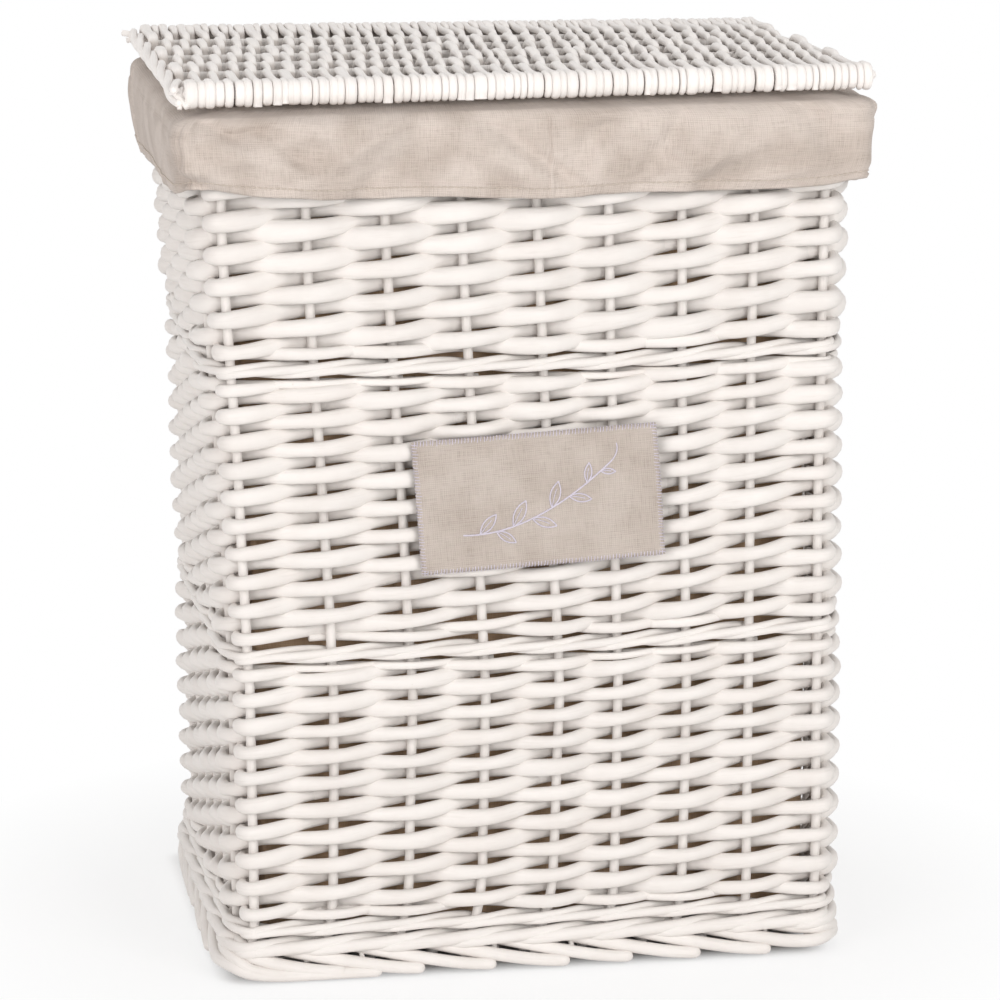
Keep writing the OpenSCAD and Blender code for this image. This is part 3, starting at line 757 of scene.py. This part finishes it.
def skin(outer, inner):
    """A closed sheet from two grids of the same shape, whose columns go round."""
    rows, cols = outer.shape[:2]
    verts = np.concatenate([outer.reshape(-1, 3), inner.reshape(-1, 3)])
    a = quads(rows, cols)
    b = a[:, ::-1] + rows * cols
    rims, k = [], np.arange(cols)
    k2 = (k + 1) % cols
    for row, flip in ((0, False), (rows - 1, True)):
        near, far = row * cols, (rows + row) * cols
        q = np.stack([near + k, far + k, far + k2, near + k2], -1)
        rims.append(q[:, ::-1] if flip else q)
    return verts, a, b, rims


def sheet_uv(faces, u, v, cols, rows):
    """UV in cm for the faces over a grid whose columns go round."""
    row, col = np.divmod(faces % (rows * cols), cols)
    wrap = (col == 0) & (col.max(1, keepdims=True) == cols - 1)
    return np.stack([np.where(wrap, u[-1] + (u[1] - u[0]), u[col]), v[row]], -1).reshape(-1, 2)


hem_z, mouth_z = span("liner_cuff", 2)
hx_top, hy_top = half_width(mouth_z), half_depth(mouth_z)
CUFF_T = 1.3
CUFF_IN, EDGE_R = -16.6, 6.0  # the cuff's inside face, out from the wall's line, and the roll at its edge
FACE_OUT, FACE_TOP = 21.7, mouth_z - 13.2  # its outer face
WEAVE_OUT = 15.4  # the weave fills this much under the outer face
STITCH_UP = 7.0  # the hem's stitches, above its edge
cuff_field = wander(3)

# The cuff's section: (out from the wall's line, height), from inside the mouth to the hem.
section = [(CUFF_IN, mouth_z - 16), (CUFF_IN, mouth_z - 8)]
for a in np.radians(np.linspace(180, 100, 6)):
    section.append((CUFF_IN + EDGE_R + EDGE_R * math.cos(a), mouth_z - 0.6 - EDGE_R + EDGE_R * math.sin(a)))
for o in np.linspace(-9, 12, 5):
    section.append((o, mouth_z - 0.6 - 3.6 * smooth((o + 6) / 16)))
for a in np.radians(np.linspace(80, 0, 7)):
    section.append((FACE_OUT - 9.2 + 9.2 * math.cos(a), FACE_TOP + 9 * math.sin(a)))
for t in np.linspace(0, 1, 30)[1:]:
    section.append((FACE_OUT + 1.2 * math.sin(2.2 * t) - 6.8 * t ** 1.8,
                    FACE_TOP + (hem_z + 0.8 - FACE_TOP) * t))
section = np.array(section)

# Places round the mouth count from the front left corner along the front.
perimeter = 4 * (hx_top + hy_top) + 60
CORNER_AT = [0.0, 2 * hx_top + 10, 2 * (hx_top + hy_top) + 25]
SEAMS = [2 * hx_top * 0.52, 2 * hx_top + 18, 2 * (hx_top + hy_top) + 50,
         4 * hx_top + 2 * hy_top + 70, perimeter - 7]
fine = [c + k * 0.55 for c in SEAMS for k in range(-9, 10)]
columns = np.unique(np.round(np.concatenate([np.arange(520) * perimeter / 520, fine]) % perimeter, 2))
columns = columns[np.concatenate([[True], np.diff(columns) > 0.2])] / perimeter
cols = len(columns)
creases = []
g = np.random.default_rng(5)
for _ in range(90):
    creases.append((g.uniform(0, perimeter), g.uniform(4, 60), g.choice([-1, 1]) * g.uniform(0.2, 1.1),
                    g.uniform(16, 60), g.uniform(3.4, 9.5),
                    g.choice([-1, 1], p=[0.55, 0.45]) * g.uniform(1.6, 5.2)))


def away(d, centre):
    """How far round the mouth d is from a place, the short way."""
    return (d - centre + perimeter / 2) % perimeter - perimeter / 2


def near(d, centre, wide):
    """1 at a place round the mouth, falling to 0 on both sides of it."""
    return np.exp(-((away(d, centre) / wide) ** 2))


def wrinkle(d, down):
    """The sum of the slanting creases, each with its place, slant, length, width and height."""
    total = np.zeros(len(d))
    for dc, hc, slant, long, thin, tall in creases:
        a, b = away(d, dc), down - hc
        along = a * math.cos(slant) + b * math.sin(slant)
        across = b * math.cos(slant) - a * math.sin(slant)
        total += tall * np.exp(-((along / long) ** 2) - (across / thin) ** 2)
    return total


def cuff_grid(push):
    """The cuff's places, from inside the mouth to the hem, pushed out along its normal."""
    grid = []
    tangent = unit(np.gradient(section, axis=0))
    normal = np.stack([-tangent[:, 1], tangent[:, 0]], 1)
    d = columns * perimeter
    calm = 1 - 0.8 * smooth((d - SEAMS[3] + 90) / 60) * (1 - smooth((d - perimeter + 55) / 50))
    right = smooth((d - SEAMS[1] + 48) / 40) * (1 - smooth((d - SEAMS[2] + 20) / 40))
    for i, (out, z) in enumerate(section):
        o, h = out + push * normal[i, 0], z + push * normal[i, 1]
        place, outward, _ = loop(half_width(z) + o, half_depth(z) + o, max(3.5, 6 + 0.2 * o), columns)
        fold, hem_wave = np.zeros(cols), np.zeros(cols)
        if out > 0:
            down = np.clip((mouth_z - 6 - z) / (mouth_z - hem_z - 6), 0, 1)
            ease = smooth((mouth_z - z) / 9)
            soft = 1.25 * wrinkle(d, mouth_z - z) + 2.2 * cuff_field(d / 62.0, down * 2.2)
            fold = ease * (calm * soft + 2.2)
            fold = fold + 1.5 * calm * smooth((down - 0.6) / 0.4) * np.sin(d / 31.0 + 1.3)
            fold = np.maximum(fold, -max(0.2, out - WEAVE_OUT)) - 0.35 * np.maximum(fold - 4.5, 0)
            fold = fold - 4.2 * smooth(down / 0.9) * right
            for c in SEAMS:  # a groove with a ridge beside it
                fold = fold - 0.9 * ease * near(d, c, 0.8) + 1.1 * ease * near(d, c + 2.6, 1.9)
            fold = fold - 0.5 * np.exp(-(((z - hem_z - STITCH_UP) / 0.9) ** 2)) - 0.9 * (down < 0.2)
            fold = fold + 0.8 * smooth((hem_z + STITCH_UP + 1.8 - z) / 1.6)
            hem_wave = calm * (1.4 * np.sin(d / 47.0 + 0.6) + 0.8 * np.sin(d / 19.0)) * down
            hem_wave = hem_wave - 7.5 * down * near(d, SEAMS[3], 90)
            for c in CORNER_AT:
                hem_wave = hem_wave + 6.5 * down * down * near(d, c, 26)
                fold = fold - 2.2 * smooth((down - 0.72) / 0.28) * near(d, c, 24) * (o > 17)
        place = place + outward * fold[:, None]
        place[:, 0] += lean(place[:, 0], place[:, 1], z)
        sunk = smooth((z - mouth_z + 30) / 30) * press(place[:, 0], place[:, 1])
        grid.append(np.concatenate([place, (h + hem_wave - sunk)[:, None]], 1))
    return np.array(grid)


outer, inner, lengths = cuff_grid(0.0), cuff_grid(-CUFF_T), lengths_along(section)
verts, fa, fb, rims = skin(outer, inner)
faces = np.concatenate([fa, fb, *rims])
uvs = sheet_uv(faces, columns * perimeter / 10, lengths / 10, cols, len(section))
cuff = make_mesh("cuff", verts, faces.tolist(), LINEN, "basket", ["liner_cuff"], uvs)
face_out(cuff)

# The stitches that hold the hem.
row = int(np.argmin(np.abs(section[:, 1] - hem_z - STITCH_UP) + 100 * (section[:, 0] < 0)))
line = np.concatenate([outer[row], outer[row, :1]])
far = lengths_along(line)
stitches = Bundle()
for at in np.arange(0, far[-1] - 4, 3.9):
    t = at + np.linspace(0, 2.7, 5)
    path = np.stack([np.interp(t, far, line[:, k]) for k in range(3)], 1)
    push = unit(np.array([path[-1, 1] - path[0, 1], -(path[-1, 0] - path[0, 0]), 0.0]))
    path += push * np.array([-0.15, 0.22, 0.34, 0.22, -0.15])[:, None]
    stitches.rod(path, 0.42, sides=5)
hem_stitches = stitches.make("cuff_stitches", HEM_THREAD, "basket", slot="linen")

# The bag: a tub of linen with soft upright folds, from the mouth down to the base.
bag_top, bag_low = mouth_z - 9, span("liner_bag", 2)[0] + 0.6
BAG_R = 14.0  # how the bag's sides turn into its floor
bag_field = wander(21, 7)
bag_cols = 420
bag_c = np.arange(bag_cols) / bag_cols
levels = np.concatenate([np.linspace(bag_top, bag_low + BAG_R, 60),
                         bag_low + BAG_R * (1 - np.sin(np.radians(np.linspace(0, 90, 9)[1:])))])


def bag_grid(push):
    """The bag's places, from the mouth to the middle of its floor, pushed inwards."""
    grid = []
    for z in levels:
        low = np.clip((bag_low + BAG_R - z) / BAG_R, 0, 1)
        inset = BAG_R * (1 - math.sqrt(max(0.0, 1 - low * low)))
        hx, hy = (half(z) - 14.1 - inset - push for half in (half_width, half_depth))
        place, outward, d = loop(hx, hy, max(2.0, 5 - inset * 0.3), bag_c)
        t = (bag_top - z) / (bag_top - bag_low)
        sag = smooth(t * 6) * (1 - 0.6 * low)
        fold = -np.abs(bag_field(d / 55.0, t * 2.5)) * 1.9 * sag
        place = place + outward * fold[:, None]
        place[:, 0] += lean(place[:, 0], place[:, 1], z)
        grid.append(np.concatenate([place, np.full((bag_cols, 1), z + push * low)], 1))
    rim = grid[-1]
    for f in np.linspace(1, 0, 14)[1:-1]:
        ring = rim.copy()
        ring[:, :2] *= f
        ring[:, 2] = bag_low + push + 0.8 * np.abs(bag_field(ring[:, 0] / 60, ring[:, 1] / 60)) * (1 - f)
        grid.append(ring)
    return np.array(grid)


outer, inner = bag_grid(0.0), bag_grid(1.2)
verts, fa, fb, rims = skin(outer, inner)
rows = len(outer)
cap = [list(range((rows - 1) * bag_cols, rows * bag_cols))[::-1],
       list(range((2 * rows - 1) * bag_cols, 2 * rows * bag_cols))]
faces = np.concatenate([fb, fa, rims[0]])
dist = lengths_along(outer[:, 5])
uvs = sheet_uv(faces, bag_c * (perimeter - 120) / 10, dist / 10, bag_cols, rows)
uvs = np.concatenate([uvs, np.concatenate([outer[-1, :, :2], outer[-1, :, :2]]) / 10])
bag = make_mesh("liner", verts, faces.tolist() + cap, LINEN, "basket", ["liner_bag"], uvs)
face_out(bag)
# The bag's outer faces take the darker brown linen: painted shade seen through the weave's gaps.
bag.data.materials.append(LINER_PAINTED_SHADE)
outside = np.zeros(len(faces) + 2, np.int32)
outside[len(fb) : len(fb) + len(fa)] = 1
bag.data.polygons.foreach_set("material_index", outside)

# ---- label

lab_lo, lab_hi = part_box("label_patch")
TURN, SHEAR = math.radians(3.0), 0.035
lab_z, lab_x = (lab_lo.z + lab_hi.z) / 2 / MM + 3.5, 1.0
LAB_W, LAB_H = 163.0, 89.0
lab_y = lab_hi.y / MM - 0.2
patch_field = wander(33, 5)


def patch_place(a, b, out):
    """A place on the patch, a along it and b up it from its middle, out mm before its back."""
    wave = 0.5 * patch_field(a / 42, b / 30) + 1.3 * (np.abs(a) / 82) ** 3 * np.sin(b / 17 + 1)
    x = lab_x + (a - SHEAR * b) * math.cos(TURN) - b * math.sin(TURN)
    z = lab_z + a * math.sin(TURN) + b * math.cos(TURN)
    return np.stack([x, lab_y - out - np.clip(wave + 0.6, 0, 2.6), z], -1)


na, nb = 96, 54
edge_a, edge_b = RNG.normal(0, 0.22, na), RNG.normal(0, 0.22, nb)
A, B = np.meshgrid(np.linspace(-LAB_W / 2, LAB_W / 2, na), np.linspace(-LAB_H / 2, LAB_H / 2, nb))
A2, B2 = A + (np.abs(A) > LAB_W / 2 - 0.1) * edge_b[:, None], B + (np.abs(B) > LAB_H / 2 - 0.1) * edge_a
round_off = 0.45 / 0.02 * (np.maximum(np.abs(A) / LAB_W * 2 - 0.985, 0)
                           + np.maximum(np.abs(B) / LAB_H * 2 - 0.975, 0))
front_side, back_side = patch_place(A2, B2, 1.2 - round_off), patch_place(A2, B2, 0.1)
verts = np.concatenate([front_side.reshape(-1, 3), back_side.reshape(-1, 3)])
q = quads(nb, na, closed=False)
border = np.concatenate([np.arange(na), np.arange(1, nb) * na + na - 1,
                         (nb - 1) * na + np.arange(na - 2, -1, -1), np.arange(nb - 2, 0, -1) * na])
after = np.roll(border, -1)
rim_faces = np.stack([border, border + na * nb, after + na * nb, after], -1)
faces = np.concatenate([q, q[:, ::-1] + na * nb, rim_faces])
uvs = np.stack([A, B], -1).reshape(-1, 2)[faces % (na * nb)].reshape(-1, 2) / 10
patch = make_mesh("label", verts, faces.tolist(), PATCH, "basket", ["label_patch"], uvs)
face_out(patch)

edging = Bundle()
corners = [(a * LAB_W / 2, b * LAB_H / 2) for a, b in ((-1, -1), (1, -1), (1, 1), (-1, 1))]
for c0, c1 in zip(corners, corners[1:] + corners[:1]):
    way = unit(np.subtract(c1, c0))
    inward = np.array([-way[1], way[0]])
    for at in np.arange(1.5, math.dist(c0, c1) - 1, 2.1):
        foot = c0 + way * (at + RNG.normal(0, 0.12))
        tip = foot + inward * (3.0 + RNG.normal(0, 0.25)) + way * RNG.normal(0.5, 0.2)
        t = np.linspace(0, 1, 6)[:, None]
        ab = foot - inward * 0.35 + (tip - foot + inward * 0.35) * t
        path = patch_place(ab[:, 0], ab[:, 1], 1.35)
        path[:, 1] += np.array([0.9, 0.0, -0.1, -0.1, 0.0, 0.35])
        edging.rod(path, 0.30, ref=(0.1, 1.0, 0.1), sides=5)
edging = edging.make("label_edge_stitches", THREAD, "basket", slot="linen")

sprig = Bundle()


def thread_line(ab, r):
    """A stitched line over the patch, with both ends in the cloth."""
    path = patch_place(ab[:, 0], ab[:, 1], 1.45)
    path[[0, -1], 1] += 0.5
    sprig.rod(path, r * (1 + 0.12 * np.sin(np.arange(len(path)) * 2.1)), ref=(0.1, 1.0, 0.1), sides=6)


def bow(p0, p1, p2, n=26):
    """A curve from p0 to p2 that is drawn towards p1."""
    t = np.linspace(0, 1, n)[:, None]
    return np.array(p0) * (1 - t) ** 2 + 2 * np.array(p1) * t * (1 - t) + np.array(p2) * t * t


# The sprig: a stem, and leaves at places along it, each with its side and length.
stem = bow((-52, -20), (-6, -24), (50, 22), 70)
thread_line(stem, 0.6)
for m, (at, side, size) in enumerate([(8, 1, 17), (16, -1, 15), (24, 1, 19), (33, -1, 17), (42, 1, 18),
                                      (50, -1, 15), (58, 1, 13), (64, -1, 10)]):
    base = stem[at]
    way = unit(stem[min(at + 2, 69)] - stem[at])
    aim = way * 0.72 + side * np.array([-way[1], way[0]]) * 0.70
    across = np.array([-aim[1], aim[0]])
    tip = base + aim * size
    for bulge in (-1, 1):
        thread_line(bow(base, base + aim * size * 0.5 + across * bulge * size * 0.36, tip), 0.5)
    thread_line(bow(base, base + aim * size * 0.4 + across * 0.6, base + aim * size * 0.72, 12), 0.32)
thread_line(bow(stem[-1], stem[-1] + np.array([5, 5]), stem[-1] + np.array([4, 11]), 12), 0.5)
sprig = sprig.make("label_sprig", THREAD, "basket", slot="linen")

# ---- camera, floor, light

# The camera was solved from the photo: its place in metres, its turn, and its focal length in pixels.
CAMERA_AT, (YAW, PITCH, ROLL), FOCAL = (-0.5665, -2.8447, 0.9264), (0.199, 0.216, -0.009), 4289.7
IMAGE, SENSOR = 1000, 36

scene = bpy.context.scene
cam_data = bpy.data.cameras.new("camera")
camera = put("camera", cam_data)
scene.camera = camera
look = Vector((math.sin(YAW) * math.cos(PITCH), math.cos(YAW) * math.cos(PITCH), -math.sin(PITCH)))
level = Vector((math.cos(YAW), -math.sin(YAW), 0))
over = level.cross(look)
right = level * math.cos(ROLL) - over * math.sin(ROLL)
up = level * math.sin(ROLL) + over * math.cos(ROLL)
camera.matrix_world = Matrix.Translation(CAMERA_AT) @ Matrix((right, up, -look)).transposed().to_4x4()
cam_data.sensor_width = SENSOR
cam_data.lens = SENSOR * FOCAL / IMAGE
cam_data.clip_start, cam_data.clip_end = 0.05, 60

# The floor takes the shadow. Camera and gloss rays see it nearly white, except under the basket.
n = Nodes("floor")
path = n.add("LightPath", {}).outputs
coord = n.add("TexCoord", {}).outputs["Object"]
tint = n.ramp(n.noise(coord, 1.5), [(0.3, (0.95, 0.95, 0.95)), (0.7, (0.97, 0.97, 0.97))])
shader = n.add("BsdfPrincipled", {"Base Color": tint, "Roughness": 0.9, "Specular IOR Level": 0.0})
outside = n.vector("SUBTRACT", n.vector("ABSOLUTE", coord), (0.19, 0.135, 0.0))
outside = n.vector("LENGTH", n.vector("MAXIMUM", outside))
under = n.add("MapRange", {"Value": outside, "From Min": 0.0, "From Max": 0.022}).outputs[0]
far = n.vector("LENGTH", coord)
fade = n.add("MapRange", {"Value": far, "From Min": 0.26, "From Max": 0.44}).outputs[0]
white = n.add("Emission", {"Color": (1, 1, 1, 1), "Strength": 1.0})
shown = n.math("MULTIPLY", n.math("MULTIPLY_ADD", fade, 0.25, 0.75), under)
shown = n.math("MULTIPLY", shown, n.math("MAXIMUM", path["Is Camera Ray"], path["Is Glossy Ray"]))
both = n.add("MixShader", {0: shown, 1: shader.outputs[0], 2: white.outputs[0]})
n.add("OutputMaterial", {0: both.outputs[0]})
floor_mesh = bpy.data.meshes.new("floor")
FLOOR = 14.0
floor_mesh.from_pydata([(x * FLOOR, y * FLOOR, 0) for x, y in ((-1, -1), (1, -1), (1, 1), (-1, 1))], [],
                       [(0, 1, 2, 3)])
floor_mesh.materials.append(n.owner)
put("floor", floor_mesh)

# The world lights the scene softly, and camera, gloss and transmission rays see it white.
world = bpy.data.worlds.new("studio")
scene.world = world
n = Nodes("studio", world)
path = n.add("LightPath", {}).outputs
seen = n.math("MAXIMUM", path["Is Camera Ray"],
              n.math("MAXIMUM", path["Is Glossy Ray"], path["Is Transmission Ray"]))
lit = n.add("Background", {"Color": (1.0, 0.985, 0.97, 1), "Strength": 0.36})
white = n.add("Background", {"Color": (1, 1, 1, 1), "Strength": 1.0})
both = n.add("MixShader", {0: seen, 1: lit.outputs[0], 2: white.outputs[0]})
n.add("OutputWorld", {0: both.outputs[0]})


def lamp(name, place, aim, size, power, colour=(1, 1, 1)):
    data = bpy.data.lights.new(name, "AREA")
    data.shape, data.size, data.energy, data.color = "SQUARE", size, power, colour
    obj = put(name, data)
    obj.location = place
    obj.rotation_euler = (Vector(aim) - Vector(place)).to_track_quat("-Z", "Y").to_euler()


lamp("key", (1.4, -2.8, 1.5), (0, 0, 0.3), 1.8, 53, (1.0, 0.985, 0.97))
lamp("fill", (-2.4, -2.2, 1.2), (0, 0, 0.3), 2.0, 48, (1.0, 0.97, 0.955))
lamp("top", (0.2, 0.3, 2.8), (0, 0, 0.4), 1.8, 15)
lamp("rim", (-1.8, 2.2, 1.8), (0, 0, 0.4), 1.4, 10)

scene.view_settings.view_transform = "Standard"
